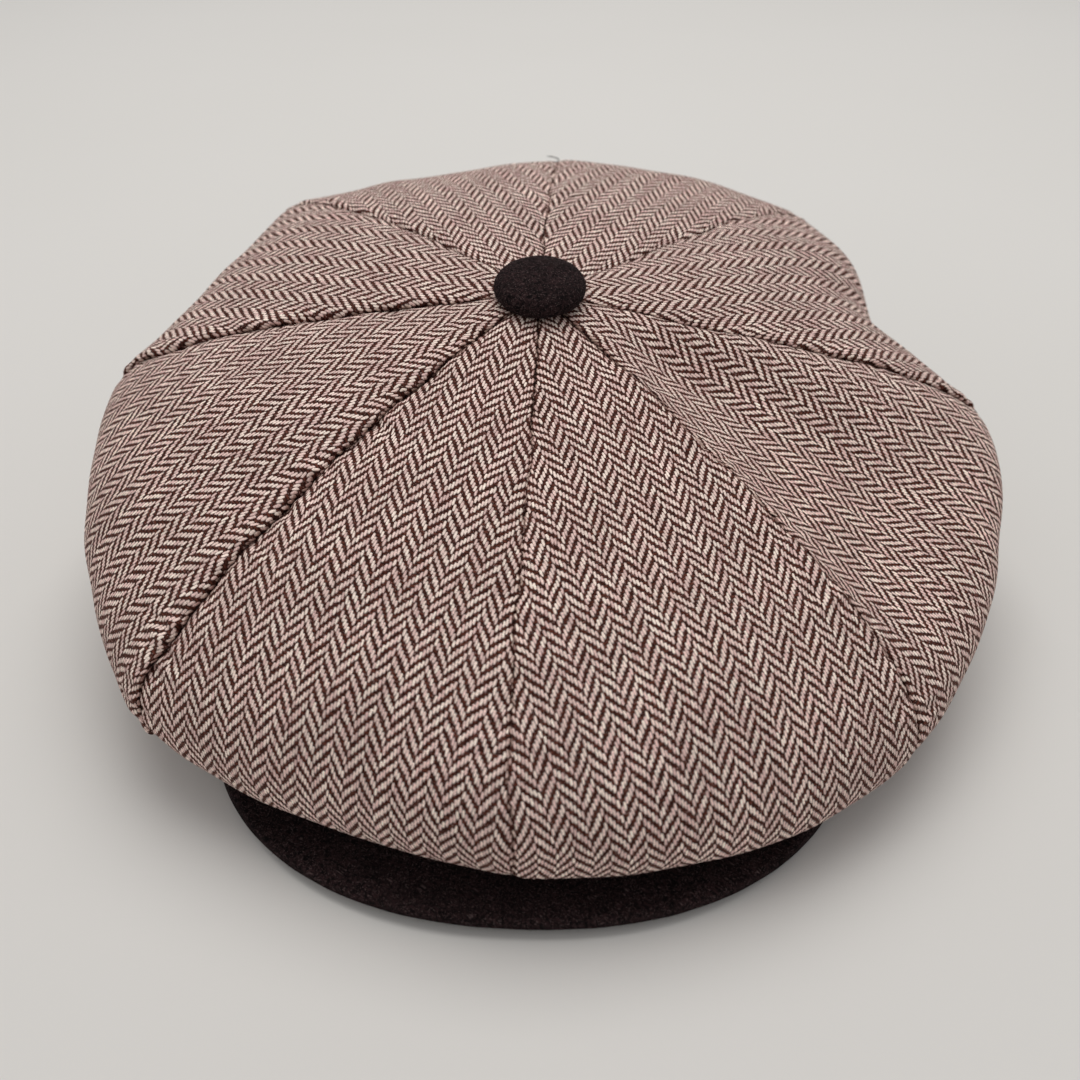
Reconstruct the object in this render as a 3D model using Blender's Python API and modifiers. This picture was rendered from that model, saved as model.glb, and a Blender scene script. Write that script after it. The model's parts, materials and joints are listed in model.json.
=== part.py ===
"""Eight-gore newsboy cap, modelled as the separate pieces that are sewn together to make it.

Units are metres, +Z is up and the peak points along -Y, with the wearer's right at -X.
The cap rests on z = 0, and the origin is the middle of the cap's outline on that plane.
Driving sizes count from the centre of the head opening, which lies FRAME_X, FRAME_Y away.
The crown is lofted: every gore seam has its own reach and droop, and the gores span them.
"""

from math import atan2, cos, floor, pi, radians, sin, sqrt

import bmesh
import bpy
from mathutils import Matrix, Vector

# Middle of the cap's outline, from the centre of the head opening.
FRAME_X = 0.002956
FRAME_Y = 0.002776

# Head opening and band (outside of the outer band).
BAND_HALF_WIDTH = 0.086
BAND_HALF_LENGTH = 0.104
BAND_HEIGHT = 0.0255
BAND_SEGMENTS = 48

# Cloth and stiffener thicknesses, and the running gap between neighbouring pieces.
TWEED_THICKNESS = 0.0013
STIFFENER_THICKNESS = 0.0008
SWEATBAND_THICKNESS = 0.0010
ELASTIC_THICKNESS = 0.0008
LINING_THICKNESS = 0.0005
LABEL_THICKNESS = 0.0004
GAP = 0.0003

# Crown: the eight seams meet under the button, a little behind the middle of the opening.
APEX_X = 0.0
APEX_Y = 0.007
APEX_Z = 0.1055
APEX_DIMPLE = 0.0022
APEX_DIMPLE_RADIUS = 0.011
SEAM_TURN = radians(-1.5)
SHANK_HOLE_RADIUS = 0.0032
SEAM_GAP = 0.00045
GORE_COUNT = 8
GORE_ANGLE = 2 * pi / GORE_COUNT

# Per seam, from the front seam round by the cap's left side (+X): how far it reaches from the
# apex, the height where it is widest, and how high its upper and its outer shoulder pull.
SEAM_SHAPES = (
    (0.151, 0.026, 0.078, 0.058),
    (0.151, 0.024, 0.076, 0.054),
    (0.150, 0.048, 0.092, 0.076),
    (0.146, 0.063, 0.104, 0.108),
    (0.147, 0.063, 0.108, 0.120),
    (0.139, 0.064, 0.110, 0.111),
    (0.144, 0.053, 0.097, 0.090),
    (0.155, 0.029, 0.082, 0.061),
)

# How full each gore is between its seams: 1 is a round arc, 0 is stretched flat.
GORE_FULLNESS = (1.0, 1.1, 0.3, 1.0, 0.6, 0.15, 0.9, 0.45)

GORE_NAMES = (
    "front_left",
    "side_front_left",
    "side_back_left",
    "back_left",
    "back_right",
    "side_back_right",
    "side_front_right",
    "front_right",
)

# Under the widest line the crown turns in to the top edge of the band.
SHOULDER_SHARE = 0.5
UNDER_DROP = 0.022
UNDER_MIN_Z = 0.006
UNDER_REACH = 0.022
UNDER_RISE = 0.016
CROWN_TOP_STEPS = 11
CROWN_UNDER_STEPS = 6
CROWN_ACROSS_STEPS = 5

# Lining: hangs inside the crown and runs down behind the sweatband.
LINING_INSET = 0.006
LINING_TOP_DROP = 0.0055
LINING_RIM_RISE = 0.001
LINING_UNDER_RISE = 0.008
LINING_END_INSET = 0.0018
LINING_END_RISE = 0.0035
LINING_TOP_STEPS = 8
LINING_UNDER_STEPS = 4
LINING_ACROSS_STEPS = 4
LINING_HOLE_RADIUS = 0.0025

# Sweatband, its elastic, and two blank labels.
SWEATBAND_LOW = 0.0012
SWEATBAND_HIGH = 0.0300
ELASTIC_LOW = 0.0040
ELASTIC_HIGH = 0.0140
ELASTIC_HALF_ANGLE = radians(26)
CARE_LABEL_ANGLE = radians(150)
CARE_LABEL_HALF_ANGLE = radians(6.5)
CARE_LABEL_LOW = 0.0050
CARE_LABEL_HIGH = 0.0270
LINING_LABEL_HALF_ANGLE = radians(20)
LINING_LABEL_START = 0.26
LINING_LABEL_END = 0.46
LINING_LABEL_STEPS = 5

# Peak: three layers, gently arched from side to side, sewn on a little askew.
PEAK_TURN = radians(-2)
PEAK_CENTRE_Y = -0.060
PEAK_HALF_WIDTH = 0.098
PEAK_LENGTH = 0.0885
PEAK_BACK_LENGTH = 0.032
PEAK_ROUNDNESS = 2.2
PEAK_ROOT_ANGLE = radians(65)
PEAK_MID_Z = 0.0046
PEAK_ARCH = 0.0020
PEAK_COVER_THICKNESS = 0.0010
PEAK_BOARD_THICKNESS = 0.0013
PEAK_BOARD_INSET = 0.0030
PEAK_ROOT_GAP = 0.0012
PEAK_ACROSS_STEPS = 20
PEAK_OUT_STEPS = 4
PEAK_HINGE_Y = -0.080

# Covered button on its shank, leaning a little forward with the crown.
BUTTON_RADIUS = 0.0140
BUTTON_LEAN = radians(8)
BUTTON_SEAT = 0.0011
BUTTON_COVER_THICKNESS = 0.0012
BUTTON_SHELL_THICKNESS = 0.0005
BUTTON_HEIGHT = 0.0052
BUTTON_EDGE_HEIGHT = 0.0022
BUTTON_STEPS = 32
BUTTON_PROFILE_STEPS = 7
PLATE_THICKNESS = 0.0006
SHANK_RADIUS = 0.0011
WASHER_RADIUS = 0.0055
WASHER_THICKNESS = 0.0006
WASHER_DEPTH = 0.0042

TWEED = (0.28, 0.20, 0.175)
DARK_WOOL = (0.022, 0.016, 0.016)
LINING_CLOTH = (0.12, 0.075, 0.055)
SWEATBAND_CLOTH = (0.035, 0.025, 0.022)


def clear_scene():
    """Remove every object and collection of the start-up scene."""
    for old in list(bpy.data.objects):
        bpy.data.objects.remove(old, do_unlink=True)
    for old in list(bpy.data.collections):
        bpy.data.collections.remove(old)


def make_material(name, colour, roughness, metallic=0.0):
    """One Principled material."""
    material = bpy.data.materials.new(name)
    material.use_nodes = True
    shader = material.node_tree.nodes["Principled BSDF"]
    shader.inputs["Base Color"].default_value = (*colour, 1.0)
    shader.inputs["Roughness"].default_value = roughness
    shader.inputs["Metallic"].default_value = metallic
    return material


def add_mesh_object(name, mesh, material, parent=None):
    """Link a mesh to the cap's collection as a named part."""
    part = bpy.data.objects.new(name, mesh)
    mesh.materials.append(material)
    CAP.objects.link(part)
    if parent:
        part.parent = parent
        part.matrix_parent_inverse = parent.matrix_world.inverted()
    return part


def loft(name, rows, material, closed=False, parent=None):
    """An open sheet of quads through rows of points; closed joins the last row to the first."""
    sheet = bmesh.new()
    verts = [[sheet.verts.new(point) for point in row] for row in rows]
    count = len(rows)
    for i in range(count if closed else count - 1):
        near = verts[i]
        far = verts[(i + 1) % count]
        for j in range(len(near) - 1):
            sheet.faces.new((near[j], near[j + 1], far[j + 1], far[j]))
    mesh = bpy.data.meshes.new(name)
    sheet.to_mesh(mesh)
    sheet.free()
    mesh.shade_smooth()
    return add_mesh_object(name, mesh, material, parent)


def thicken(part, thickness, offset=-1.0):
    """Give a sheet its cloth thickness; offset -1 grows it against its face normals."""
    solidify = part.modifiers.new("thickness", "SOLIDIFY")
    solidify.thickness = thickness
    solidify.offset = offset
    solidify.use_even_offset = True
    solidify.use_quality_normals = True


def at(x, y, z):
    """A point given from the head opening's centre, in the part's frame."""
    return Vector((x - FRAME_X, y - FRAME_Y, z))


# ---------------------------------------------------------------- crown shape


def seam_blend(values, turn):
    """Smooth closed Catmull-Rom curve through one value per seam; turn counts in gores."""
    index = floor(turn)
    t = turn - index
    before, start, end, after = (values[(index + k) % GORE_COUNT] for k in (-1, 0, 1, 2))
    slope = (end - before) * t
    bend = (2 * before - 5 * start + 4 * end - after) * t * t
    twist = (3 * start - before - 3 * end + after) * t**3
    return start + 0.5 * (slope + bend + twist)


def bezier(points, t):
    """Cubic Bezier point in the (radius, height) plane."""
    weights = ((1 - t) ** 3, 3 * t * (1 - t) ** 2, 3 * t * t * (1 - t), t**3)
    radius = sum(w * p[0] for w, p in zip(weights, points))
    height = sum(w * p[1] for w, p in zip(weights, points))
    return radius, height


def band_reach(azimuth, inset=0.0):
    """Distance from the crown's axis to the band's oval, azimuth 0 being the front."""
    x = sin(azimuth)
    y = -cos(azimuth)
    half_width = BAND_HALF_WIDTH - inset
    half_length = BAND_HALF_LENGTH - inset
    a = (x / half_width) ** 2 + (y / half_length) ** 2
    b = 2 * (APEX_X * x / half_width**2 + APEX_Y * y / half_length**2)
    c = (APEX_X / half_width) ** 2 + (APEX_Y / half_length) ** 2 - 1
    return (-b + sqrt(b * b - 4 * a * c)) / (2 * a)


def crown_curves(turn):
    """Upper and lower Bezier curves of the crown's outside at a place counted in gores."""
    reach, rim_z, upper_z, outer_z = (
        seam_blend([shape[k] for shape in SEAM_SHAPES], turn) for k in range(4)
    )
    band = band_reach(turn * GORE_ANGLE + SEAM_TURN)
    under_z = max(rim_z - UNDER_DROP, UNDER_MIN_Z)
    upper = ((0, APEX_Z), (SHOULDER_SHARE * reach, upper_z), (reach, outer_z), (reach, rim_z))
    lower = (
        (reach, rim_z),
        (reach, under_z),
        (band + UNDER_REACH, BAND_HEIGHT - UNDER_RISE),
        (band, BAND_HEIGHT + GAP),
    )
    return upper, lower


def lining_curves(turn):
    """The same two curves for the lining, inside the crown."""
    upper, lower = crown_curves(turn)
    reach = upper[3][0] - LINING_INSET
    rim_z = upper[3][1] + LINING_RIM_RISE
    inner_upper = (
        (0, APEX_Z - LINING_TOP_DROP),
        (upper[1][0], upper[1][1] - LINING_TOP_DROP),
        (reach, upper[2][1] - LINING_TOP_DROP),
        (reach, rim_z),
    )
    inner_lower = (
        (reach, rim_z),
        (reach, lower[1][1] + LINING_UNDER_RISE),
        (lower[2][0] - LINING_INSET, lower[2][1] + LINING_UNDER_RISE),
        (lower[3][0] - LINING_END_INSET, lower[3][1] + LINING_END_RISE),
    )
    return inner_upper, inner_lower


def gore_squeeze(turn, weight):
    """Pull a gore's middle in from a round arc towards the straight line between its seams."""
    middle = (turn % 1.0 - 0.5) * GORE_ANGLE
    straight = cos(GORE_ANGLE / 2) / cos(middle)
    fullness = GORE_FULLNESS[floor(turn) % GORE_COUNT]
    return 1 - (1 - fullness) * (1 - straight) * weight


def place(turn, curve, t, side_step=0.0):
    """World point on a curve of the crown's profile, moved sideways by side_step.

    The squeeze is full at the widest line, and fades to nothing at the apex and at the band.
    """
    radius, height = bezier(curve, t)
    widest = max(curve[0][0], curve[3][0])
    inner = min(curve[0][0], curve[3][0])
    weight = ((radius - inner) / (widest - inner)) ** 2
    azimuth = turn * GORE_ANGLE + SEAM_TURN
    squeezed = radius * gore_squeeze(turn, weight)
    dimple = APEX_DIMPLE * 2.718 ** (-((radius / APEX_DIMPLE_RADIUS) ** 2))
    x = APEX_X + squeezed * sin(azimuth) + side_step * cos(azimuth)
    y = APEX_Y - squeezed * cos(azimuth) + side_step * sin(azimuth)
    return at(x, y, height - dimple)


def gore_rows(curves, gore, across_steps, top_steps, under_steps, hole_radius):
    """Rows of points over one gore, from its first seam to its second, apex to band."""
    rows = []
    for i in range(across_steps + 1):
        share = i / across_steps
        turn = min(gore + share, gore + 1 - 1e-9)
        side_step = SEAM_GAP * (1 - 2 * share)
        upper, lower = curves(turn)
        first = start_parameter(upper, hole_radius)
        row = []
        for j in range(top_steps):
            row.append(place(turn, upper, first + (1 - first) * j / top_steps, side_step))
        for j in range(under_steps + 1):
            row.append(place(turn, lower, j / under_steps, side_step))
        rows.append(row)
    return rows


def start_parameter(curve, radius):
    """Curve parameter where the radius reaches the edge of the hole at the apex."""
    low, high = 0.0, 0.5
    for _ in range(30):
        middle = (low + high) / 2
        if bezier(curve, middle)[0] < radius:
            low = middle
        else:
            high = middle
    return high


def make_gores():
    """Eight tweed gores of the crown, and the eight lining gores under them."""
    tweed = make_material("herringbone_tweed", TWEED, 0.95)
    lining = make_material("lining_cloth", LINING_CLOTH, 0.55)
    for gore, place_name in enumerate(GORE_NAMES):
        rows = gore_rows(crown_curves, gore, CROWN_ACROSS_STEPS, CROWN_TOP_STEPS,
                         CROWN_UNDER_STEPS, SHANK_HOLE_RADIUS)
        thicken(loft("crown_gore_" + place_name, rows, tweed), TWEED_THICKNESS)
        rows = gore_rows(lining_curves, gore, LINING_ACROSS_STEPS, LINING_TOP_STEPS,
                         LINING_UNDER_STEPS, LINING_HOLE_RADIUS)
        thicken(loft("lining_gore_" + place_name, rows, lining), LINING_THICKNESS)


# ---------------------------------------------------------------- band and labels


def oval_point(angle, inset, height):
    """A point on the band's oval; angle 0 is the front."""
    x = (BAND_HALF_WIDTH - inset) * sin(angle)
    y = -(BAND_HALF_LENGTH - inset) * cos(angle)
    return at(x, y, height)


def band_strip(name, material, inset, low, high, thickness, centre=0.0, half_angle=pi):
    """A strip that follows the oval: a full ring, or an arc about a centre angle."""
    closed = half_angle >= pi
    steps = max(3, round(BAND_SEGMENTS * half_angle / pi))
    count = steps if closed else steps + 1
    rows = []
    for i in range(count):
        angle = centre - half_angle + 2 * half_angle * i / steps
        rows.append([oval_point(angle, inset, low), oval_point(angle, inset, high)])
    strip = loft(name, rows[::-1], material, closed)
    thicken(strip, thickness)
    return strip


def make_band():
    """Outer band, its stiffener, the sweatband and the elastic at the back."""
    tweed = make_material("band_tweed", TWEED, 0.95)
    stiffener = make_material("band_stiffener", (0.75, 0.73, 0.68), 0.8)
    sweat = make_material("sweatband_cloth", SWEATBAND_CLOTH, 0.7)
    elastic = make_material("elastic", (0.7, 0.68, 0.62), 0.75)
    label = make_material("label_cloth", (0.62, 0.58, 0.5), 0.6)
    inset = 0.0
    band_strip("outer_band", tweed, inset, 0.0, BAND_HEIGHT, TWEED_THICKNESS)
    inset += TWEED_THICKNESS + GAP
    low = SWEATBAND_LOW
    band_strip("band_stiffener", stiffener, inset, low, BAND_HEIGHT, STIFFENER_THICKNESS)
    inset += STIFFENER_THICKNESS + GAP
    band_strip("size_elastic", elastic, inset, ELASTIC_LOW, ELASTIC_HIGH, ELASTIC_THICKNESS,
               pi, ELASTIC_HALF_ANGLE)
    inset += ELASTIC_THICKNESS + GAP
    band_strip("sweatband", sweat, inset, low, SWEATBAND_HIGH, SWEATBAND_THICKNESS)
    inset += SWEATBAND_THICKNESS + GAP
    band_strip("care_label", label, inset, CARE_LABEL_LOW, CARE_LABEL_HIGH, LABEL_THICKNESS,
               CARE_LABEL_ANGLE, CARE_LABEL_HALF_ANGLE)
    make_lining_label(label)


def make_lining_label(material):
    """Blank patch under the lining, behind the apex."""
    depth = LINING_THICKNESS + 2 * GAP
    middle = GORE_COUNT / 2
    rows = []
    for i in range(LINING_LABEL_STEPS):
        across = 2 * i / (LINING_LABEL_STEPS - 1) - 1
        turn = middle + across * LINING_LABEL_HALF_ANGLE / GORE_ANGLE
        upper = lining_curves(turn)[0]
        row = []
        for j in range(LINING_LABEL_STEPS):
            share = j / (LINING_LABEL_STEPS - 1)
            t = LINING_LABEL_START + share * (LINING_LABEL_END - LINING_LABEL_START)
            row.append(place(turn, upper, t) - Vector((0, 0, depth)))
        rows.append(row)
    thicken(loft("lining_label", rows, material), LABEL_THICKNESS)


# ---------------------------------------------------------------- peak


def peak_edge(direction, inset):
    """Outer edge of the peak along a direction from its centre, a rounded super-ellipse."""
    x = sin(direction)
    y = -cos(direction)
    half_width = PEAK_HALF_WIDTH - inset
    length = PEAK_LENGTH if y < 0 else PEAK_BACK_LENGTH
    power = PEAK_ROUNDNESS
    size = (abs(x) / half_width) ** power + (abs(y) / (length - inset)) ** power
    scale = size ** (-1 / power)
    return x * scale, PEAK_CENTRE_Y + y * scale


def peak_height(x):
    """Height of the peak's middle surface: arched from side to side."""
    return PEAK_MID_Z - PEAK_ARCH * (x / PEAK_HALF_WIDTH) ** 2


def turn_peak(x, y):
    """A peak point, turned with the peak about the middle of the head opening."""
    return x * cos(PEAK_TURN) - y * sin(PEAK_TURN), x * sin(PEAK_TURN) + y * cos(PEAK_TURN)


def peak_layer(name, material, lift, thickness, inset, hinge):
    """One layer of the peak, from the band's front arc to the peak's outer edge."""
    rows = []
    half_angle = PEAK_ROOT_ANGLE - inset / BAND_HALF_WIDTH
    for i in range(PEAK_ACROSS_STEPS + 1):
        angle = half_angle * (2 * i / PEAK_ACROSS_STEPS - 1)
        root_x = (BAND_HALF_WIDTH + PEAK_ROOT_GAP + inset / 2) * sin(angle)
        root_y = -(BAND_HALF_LENGTH + PEAK_ROOT_GAP + inset / 2) * cos(angle)
        aim = atan2(root_x, PEAK_CENTRE_Y - root_y)
        edge_x, edge_y = peak_edge(aim, inset)
        row = []
        for j in range(PEAK_OUT_STEPS + 1):
            share = j / PEAK_OUT_STEPS
            x = root_x + (edge_x - root_x) * share
            y = root_y + (edge_y - root_y) * share
            row.append(at(*turn_peak(x, y), peak_height(x) + lift))
        rows.append(row)
    layer = loft(name, rows, material, parent=hinge)
    thicken(layer, thickness, 0.0)
    return layer


def make_peak():
    """Board between an upper and an under cover, all turning on the peak's flex line."""
    wool = make_material("peak_wool", DARK_WOOL, 0.95)
    board = make_material("peak_board", (0.05, 0.05, 0.055), 0.5)
    hinge = bpy.data.objects.new("peak_flex_line", None)
    hinge.location = at(*turn_peak(0.0, PEAK_HINGE_Y), PEAK_MID_Z)
    hinge.rotation_euler = (0, 0, PEAK_TURN)
    CAP.objects.link(hinge)
    bpy.context.view_layer.update()
    lift = (PEAK_BOARD_THICKNESS + PEAK_COVER_THICKNESS) / 2 + GAP
    peak_layer("peak_upper_cover", wool, lift, PEAK_COVER_THICKNESS, 0.0, hinge)
    peak_layer("peak_board", board, 0.0, PEAK_BOARD_THICKNESS, PEAK_BOARD_INSET, hinge)
    peak_layer("peak_under_cover", wool, -lift, PEAK_COVER_THICKNESS, 0.0, hinge)


# ---------------------------------------------------------------- button


def turned(name, profile, material, axis):
    """A closed turned piece: a profile of (radius, height) points spun round the button's axis."""
    outline = bmesh.new()
    verts = [outline.verts.new((radius, 0, height)) for radius, height in profile]
    for near, far in zip(verts, verts[1:]):
        outline.edges.new((near, far))
    mesh = bpy.data.meshes.new(name)
    outline.to_mesh(mesh)
    outline.free()
    part = add_mesh_object(name, mesh, material)
    screw = part.modifiers.new("turn", "SCREW")
    screw.axis = "Z"
    screw.steps = BUTTON_STEPS
    screw.render_steps = BUTTON_STEPS
    screw.use_merge_vertices = True
    screw.merge_threshold = 0.00001
    screw.use_smooth_shade = True
    part.parent = axis
    return part


def dome(radius, edge_z, top_z):
    """Half-profile of a flattened dome from its edge up to the axis."""
    points = []
    for i in range(BUTTON_PROFILE_STEPS + 1):
        angle = pi / 2 * i / BUTTON_PROFILE_STEPS
        points.append((radius * cos(angle) ** 0.8, edge_z + (top_z - edge_z) * sin(angle)))
    points[-1] = (0.0, top_z)
    return points


def cap_profile(radius, low_z, edge_z, top_z, thickness):
    """Profile of a hollow dome that is open below, from the top outside to the top inside."""
    outer = dome(radius, edge_z, top_z)[::-1]
    inner = dome(radius - thickness, edge_z, top_z - thickness)
    return outer + [(radius, low_z), (radius - thickness, low_z)] + inner


def disc_profile(radius, low_z, high_z):
    """Profile of a solid disc."""
    return [(0.0, high_z), (radius, high_z), (radius, low_z), (0.0, low_z)]


def ring_profile(radius, hole, low_z, high_z):
    """Profile of a flat ring, closed on itself."""
    corners = [(hole, high_z), (radius, high_z), (radius, low_z), (hole, low_z)]
    return corners + corners[:1]


def make_button():
    """Cloth-covered button: cover, metal shell, back plate, shank and the washer inside."""
    wool = make_material("button_wool", DARK_WOOL, 0.95)
    metal = make_material("button_metal", (0.6, 0.6, 0.58), 0.35, 1.0)
    axis = bpy.data.objects.new("button_axis", None)
    lean = Matrix.Rotation(BUTTON_LEAN, 4, "X")
    seat = at(APEX_X, APEX_Y, APEX_Z - APEX_DIMPLE + BUTTON_SEAT)
    axis.matrix_world = Matrix.Translation(seat) @ lean
    CAP.objects.link(axis)
    bpy.context.view_layer.update()

    turned("button_cover", cap_profile(BUTTON_RADIUS, 0.0, BUTTON_EDGE_HEIGHT, BUTTON_HEIGHT,
                                       BUTTON_COVER_THICKNESS), wool, axis)
    inset = BUTTON_COVER_THICKNESS + GAP
    shell_radius = BUTTON_RADIUS - inset
    turned("button_shell", cap_profile(shell_radius, GAP, BUTTON_EDGE_HEIGHT,
                                       BUTTON_HEIGHT - inset, BUTTON_SHELL_THICKNESS), metal, axis)
    plate_radius = shell_radius - BUTTON_SHELL_THICKNESS - GAP
    plate_top = GAP + PLATE_THICKNESS
    turned("button_back_plate", disc_profile(plate_radius, GAP, plate_top), metal, axis)
    shank_low = -WASHER_DEPTH - WASHER_THICKNESS
    turned("button_shank", disc_profile(SHANK_RADIUS, shank_low, 0.0), metal, axis)
    turned("button_washer", ring_profile(WASHER_RADIUS, SHANK_RADIUS + GAP,
                                         shank_low, -WASHER_DEPTH), metal, axis)


clear_scene()
CAP = bpy.data.collections.new("newsboy_cap")
bpy.context.scene.collection.children.link(CAP)
make_gores()
make_band()
make_peak()
make_button()
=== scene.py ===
"""Looks of the newsboy cap: cloth, wool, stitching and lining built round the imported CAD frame.

Metres, +Z up. The peak points along -Y and the cap rests on z = 0.
"""

import json

import bpy
import numpy as np
from mathutils import Matrix, Vector
from mathutils.bvhtree import BVHTree

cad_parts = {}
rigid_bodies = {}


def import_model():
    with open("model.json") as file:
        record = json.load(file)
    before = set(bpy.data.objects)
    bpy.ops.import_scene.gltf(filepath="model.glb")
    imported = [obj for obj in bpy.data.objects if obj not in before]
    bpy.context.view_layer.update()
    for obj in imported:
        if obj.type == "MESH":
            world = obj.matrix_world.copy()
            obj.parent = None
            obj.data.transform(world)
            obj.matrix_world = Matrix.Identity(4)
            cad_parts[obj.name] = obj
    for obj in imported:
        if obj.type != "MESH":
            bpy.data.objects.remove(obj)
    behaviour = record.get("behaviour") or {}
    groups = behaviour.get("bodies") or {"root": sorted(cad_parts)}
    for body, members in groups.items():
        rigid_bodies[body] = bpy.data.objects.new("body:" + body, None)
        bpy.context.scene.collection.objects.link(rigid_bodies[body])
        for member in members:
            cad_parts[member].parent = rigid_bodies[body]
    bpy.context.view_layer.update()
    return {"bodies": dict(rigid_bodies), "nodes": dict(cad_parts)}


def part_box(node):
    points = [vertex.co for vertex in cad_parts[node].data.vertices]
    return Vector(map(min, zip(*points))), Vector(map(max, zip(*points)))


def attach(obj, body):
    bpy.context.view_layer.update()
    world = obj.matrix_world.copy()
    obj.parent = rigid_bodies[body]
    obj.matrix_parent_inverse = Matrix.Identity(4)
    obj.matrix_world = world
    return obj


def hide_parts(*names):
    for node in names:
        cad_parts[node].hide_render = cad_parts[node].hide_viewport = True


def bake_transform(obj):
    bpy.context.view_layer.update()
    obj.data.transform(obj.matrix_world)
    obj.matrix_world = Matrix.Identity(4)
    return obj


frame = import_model()

TAU = 2 * np.pi
BAND_LOW, BAND_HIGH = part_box("outer_band")
OPENING = (BAND_LOW + BAND_HIGH) / 2
BAND_HALF_WIDTH = (BAND_HIGH.x - BAND_LOW.x) / 2
BAND_HALF_LENGTH = (BAND_HIGH.y - BAND_LOW.y) / 2
BAND_RADIUS = (BAND_HALF_WIDTH + BAND_HALF_LENGTH) / 2
BAND_TOP = BAND_HIGH.z
BUTTON_LOW, BUTTON_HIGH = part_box("button_cover")
BUTTON_PROUD = 0.00475
APEX_BACK = 0.007
APEX = Vector((OPENING.x, OPENING.y + APEX_BACK, BUTTON_HIGH.z - BUTTON_PROUD))

# ---- crown shape ----
# The crown is spanned between eight seams. Turn counts gores from the front seam towards +X.

GORE_COUNT = 8
GORE_ANGLE = TAU / GORE_COUNT
SEAM_TURN = np.radians(-1.5)
GORE_NAMES = (
    "front_left",
    "side_front_left",
    "side_back_left",
    "back_left",
    "back_right",
    "side_back_right",
    "side_front_right",
    "front_right",
)

# Per seam: reach from the apex, height where it is widest, upper and outer shoulder heights.
SEAM_SHAPES = np.array((
    (0.151, 0.026, 0.078, 0.057),
    (0.153, 0.025, 0.076, 0.055),
    (0.149, 0.054, 0.088, 0.071),
    (0.148, 0.071, 0.098, 0.110),
    (0.146, 0.065, 0.108, 0.123),
    (0.143, 0.070, 0.108, 0.115),
    (0.145, 0.060, 0.096, 0.087),
    (0.154, 0.029, 0.090, 0.061),
))
# Per gore: how round it is between its seams, how far its middle puffs out, and how far the
# cloth's grain is turned from the gore's centre line.
GORE_FULLNESS = np.array((0.9, 0.7, -0.7, 0.6, 0.1, -0.4, 0.5, 0.4))
GORE_PUFF = (0.0015, 0.0020, 0.0025, 0.0005, -0.0005, 0.0020, 0.0025, 0.0010)
GORE_GRAIN = tuple(np.radians((-1.5, 2, -1, 2, -2, 1, -2, -4)))

# Per seam: how far it swings round by its widest point, and how far it bows on the way there.
SEAM_SWING = np.radians(np.array((
    (-1.0, -1.5),
    (-1.0, -0.5),
    (2.5, 2.5),
    (-1.5, 0.5),
    (-1.5, -1.5),
    (1.5, 3.0),
    (-3.0, 0.5),
    (0.0, 2.0),
)))

SHOULDER_SHARE = 0.5
UNDER_DROP = 0.022
UNDER_MIN_Z = 0.006
UNDER_REACH = 0.022
UNDER_RISE = 0.016
APEX_DIMPLE = 0.0022
APEX_DIMPLE_RADIUS = 0.011
SHANK_HOLE_RADIUS = 0.003
SEAM_CROWDING = 0.75


# Per seam: depth and width of the valley on both sides; lip, how far one gore rolls over the
# other, plus for the gore after the seam and minus for the one before; start, where along the seam
# the roll begins; pucker and wave, height and length of the gathers beside it; furrow, depth of the
# trough in the gore after the seam, a little way from it; ridge, rise of both gores.
SEAMS = (
    (0.0013, 0.0018, 0.0, 0.0, 0.00060, 0.0085, 0.0, 0.0),
    (0.0014, 0.0014, -0.0004, 0.02, 0.00085, 0.008, 0.0130, 0.0020),
    (0.0018, 0.0018, 0.0012, 0.06, 0.00050, 0.0065, 0.0, 0.0),
    (0.0012, 0.0022, 0.0004, 0.03, 0.00035, 0.010, 0.0, 0.0),
    (0.0014, 0.0022, 0.0, 0.0, 0.00050, 0.009, 0.0, 0.0),
    (0.0014, 0.0022, -0.0008, 0.02, 0.00045, 0.010, 0.0, 0.0),
    (0.0026, 0.0020, -0.0014, 0.01, 0.00045, 0.008, 0.0, 0.0),
    (0.0032, 0.0024, -0.0016, 0.03, 0.00105, 0.0075, 0.0, 0.0),
)
# How strongly each seam's crease gets painted shade in the tweed.
SEAM_SHADOW = (0.9, 1.7, 0.9, 0.35, 0.6, 0.4, 0.9, 1.4)
# Soft swells (plus) and hollows (minus) of the worn crown: turn, station, their spreads, height.
SWELLS = (
    (2.72, 0.92, 0.16, 0.30, 0.0035),
    (2.40, 0.95, 0.15, 0.30, -0.0045),
    (5.00, 0.95, 0.10, 0.25, 0.0022),
    (4.45, 0.90, 0.22, 0.30, -0.0022),
    (0.55, 0.70, 0.20, 0.16, 0.0012),
    (7.40, 0.55, 0.18, 0.14, 0.0010),
    (6.60, 0.70, 0.20, 0.16, 0.0014),
    (1.45, 0.80, 0.20, 0.16, 0.0014),
    (1.80, 0.95, 0.22, 0.25, 0.0024),
    (6.45, 0.95, 0.22, 0.25, 0.0014),
)


def seam_blend(values, turn):
    """Smooth closed Catmull-Rom curve through one value per seam."""
    index = np.floor(turn).astype(int)
    t = turn - index
    before, start, end, after = (values[(index + k) % GORE_COUNT] for k in (-1, 0, 1, 2))
    slope = (end - before) * t
    bend = (2 * before - 5 * start + 4 * end - after) * t**2
    twist = (3 * start - before - 3 * end + after) * t**3
    return start + 0.5 * (slope + bend + twist)


def band_reach(azimuth):
    """Distance from the crown's axis to the band's oval, azimuth 0 being the front."""
    x = np.sin(azimuth)
    y = -np.cos(azimuth)
    a = (x / BAND_HALF_WIDTH) ** 2 + (y / BAND_HALF_LENGTH) ** 2
    b = 2 * APEX_BACK * y / BAND_HALF_LENGTH**2
    c = (APEX_BACK / BAND_HALF_LENGTH) ** 2 - 1
    return (-b + np.sqrt(b * b - 4 * a * c)) / (2 * a)


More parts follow.
